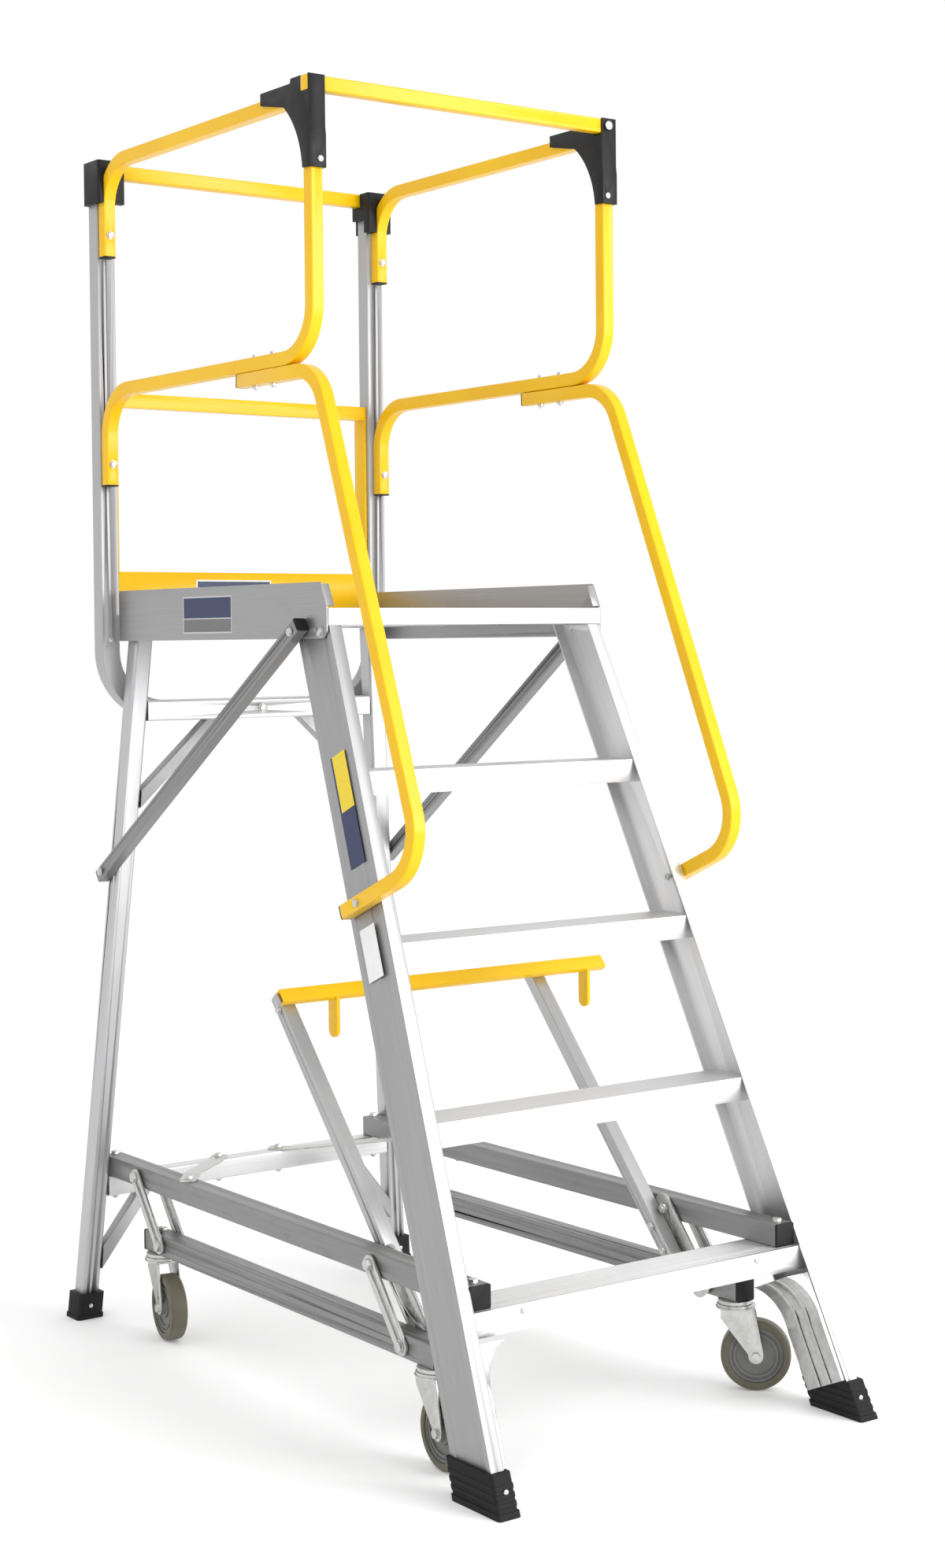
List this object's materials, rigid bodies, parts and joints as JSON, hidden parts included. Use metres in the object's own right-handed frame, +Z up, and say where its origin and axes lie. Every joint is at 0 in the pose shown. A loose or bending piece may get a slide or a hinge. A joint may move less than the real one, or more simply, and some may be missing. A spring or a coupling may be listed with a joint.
{
  "type": "rolling warehouse ladder",
  "caption": "Mobile platform ladder: aluminium steps and splayed legs, yellow guard rails and gate bar, and castors lowered by a hand lever through a parallel linkage.",
  "frame": {"origin": "bottom centre of the bounding box, on the floor", "axes": "+Z up, +Y the climbing direction (the stairs face -Y), +X to the climber's right"},
  "size_m": [0.8526, 1.4544, 2.314],
  "materials": {
    "aluminium": "mill-finish extrusion",
    "yellow_coat": "glossy powder coat",
    "black_plastic": "moulded, satin",
    "rubber": "moulded, matt",
    "zinc": "zinc plated",
    "hub": "moulded grey",
    "tyre": "olive-grey polyurethane"
  },
  "bodies": {
    "ladder_frame": {"corner_bracket_left": "black_plastic", "corner_bracket_right": "black_plastic", "corner_straps": "zinc", "end_plugs": "black_plastic", "fixed_rail_left": "aluminium", "fixed_rail_right": "aluminium", "frame_bolts": "zinc", "frame_rivets": "zinc", "front_shoes": "rubber", "guard_loop_left": "yellow_coat", "guard_loop_right": "yellow_coat", "handrail_left": "yellow_coat", "handrail_right": "yellow_coat", "knee_braces": "zinc", "leg_gussets": "aluminium", "lower_cross_member": "aluminium", "platform_deck": "aluminium", "rear_brackets": "black_plastic", "rear_feet": "rubber", "rear_inner_frame": "yellow_coat", "rear_leg_left": "aluminium", "rear_leg_right": "aluminium", "rear_top_rail": "yellow_coat", "rear_uframe": "aluminium", "side_braces": "aluminium", "side_plate_left": "aluminium", "side_plate_right": "aluminium", "stile_left": "aluminium", "stile_right": "aluminium", "toe_board": "yellow_coat", "tread_1": "aluminium", "tread_2": "aluminium", "tread_3": "aluminium", "tread_4": "aluminium", "upper_cross_tube": "aluminium"},
    "gate": {"gate_bar": "yellow_coat"},
    "lift_lever": {"lever_arms": "aluminium", "lever_bolts": "zinc", "lever_handle": "yellow_coat", "lever_links": "zinc"},
    "rear_link_left": {"rear_links_left": "zinc"},
    "rear_link_right": {"rear_links_right": "zinc"},
    "castor_carrier_left": {"castor_rail_left": "aluminium", "castor_rail_caps_left": "black_plastic", "castor_rail_hardware_left": "zinc"},
    "castor_carrier_right": {"castor_rail_right": "aluminium", "castor_rail_caps_right": "black_plastic", "castor_rail_hardware_right": "zinc"},
    "swivel_front_right": {"castor_fork_front_right": "zinc"},
    "wheel_front_right": {"castor_hub_front_right": "hub", "castor_tyre_front_right": "tyre"},
    "swivel_front_left": {"castor_fork_front_left": "zinc"},
    "wheel_front_left": {"castor_hub_front_left": "hub", "castor_tyre_front_left": "tyre"},
    "swivel_rear_right": {"castor_fork_rear_right": "zinc"},
    "wheel_rear_right": {"castor_hub_rear_right": "hub", "castor_tyre_rear_right": "tyre"},
    "swivel_rear_left": {"castor_fork_rear_left": "zinc"},
    "wheel_rear_left": {"castor_hub_rear_left": "hub", "castor_tyre_rear_left": "tyre"}
  },
  "joints": [
    {"name": "gate_hinge", "type": "hinge", "parent": "ladder_frame", "child": "gate", "pos_m": [0.30125, -0.11445, 2.3], "axis": [0, 1, 0], "range_deg": [0, 90]},
    {"name": "lever_pivot", "type": "hinge", "parent": "ladder_frame", "child": "lift_lever", "pos_m": [-0.01875, -0.29345, 0.3], "axis": [1, 0, 0], "range_deg": [-4, 32]},
    {"name": "rear_link_left_pivot", "type": "hinge", "parent": "ladder_frame", "child": "rear_link_left", "pos_m": [-0.33175, 0.54555, 0.3], "axis": [1, 0, 0], "range_deg": [-4, 32]},
    {"name": "carrier_left_pivot", "type": "hinge", "parent": "lift_lever", "child": "castor_carrier_left", "pos_m": [-0.34575, -0.3858, 0.1818], "axis": [1, 0, 0], "range_deg": [-32, 4]},
    {"name": "rear_link_right_pivot", "type": "hinge", "parent": "ladder_frame", "child": "rear_link_right", "pos_m": [0.29425, 0.54555, 0.3], "axis": [1, 0, 0], "range_deg": [-4, 32]},
    {"name": "carrier_right_pivot", "type": "hinge", "parent": "lift_lever", "child": "castor_carrier_right", "pos_m": [0.30825, -0.3858, 0.1818], "axis": [1, 0, 0], "range_deg": [-32, 4]},
    {"name": "swivel_front_right", "type": "hinge", "parent": "castor_carrier_right", "child": "swivel_front_right", "pos_m": [0.3094, -0.45045, 0.15], "axis": [0, 0, 1], "continuous": true},
    {"name": "axle_front_right", "type": "hinge", "parent": "swivel_front_right", "child": "wheel_front_right", "pos_m": [0.33586, -0.47486, 0.0635], "axis": [-0.6782, -0.7349, 0], "continuous": true},
    {"name": "swivel_front_left", "type": "hinge", "parent": "castor_carrier_left", "child": "swivel_front_left", "pos_m": [-0.3469, -0.45045, 0.15], "axis": [0, 0, 1], "continuous": true},
    {"name": "axle_front_left", "type": "hinge", "parent": "swivel_front_left", "child": "wheel_front_left", "pos_m": [-0.34872, -0.4864, 0.0635], "axis": [-0.9987, 0.0506, 0], "continuous": true},
    {"name": "swivel_rear_right", "type": "hinge", "parent": "castor_carrier_right", "child": "swivel_rear_right", "pos_m": [0.29535, 0.48355, 0.15], "axis": [0, 0, 1], "continuous": true},
    {"name": "axle_rear_right", "type": "hinge", "parent": "swivel_rear_right", "child": "wheel_rear_right", "pos_m": [0.29535, 0.44755, 0.0635], "axis": [-1, 0, 0], "continuous": true},
    {"name": "swivel_rear_left", "type": "hinge", "parent": "castor_carrier_left", "child": "swivel_rear_left", "pos_m": [-0.33285, 0.48355, 0.15], "axis": [0, 0, 1], "continuous": true},
    {"name": "axle_rear_left", "type": "hinge", "parent": "swivel_rear_left", "child": "wheel_rear_left", "pos_m": [-0.33898, 0.44808, 0.0635], "axis": [-0.9854, 0.1702, 0], "continuous": true}
  ],
  "couplings": [
    {"joint": "rear_link_left_pivot", "follows": "lever_pivot", "ratio": 1},
    {"joint": "carrier_left_pivot", "follows": "lever_pivot", "ratio": -1},
    {"joint": "rear_link_right_pivot", "follows": "lever_pivot", "ratio": 1},
    {"joint": "carrier_right_pivot", "follows": "lever_pivot", "ratio": -1}
  ]
}
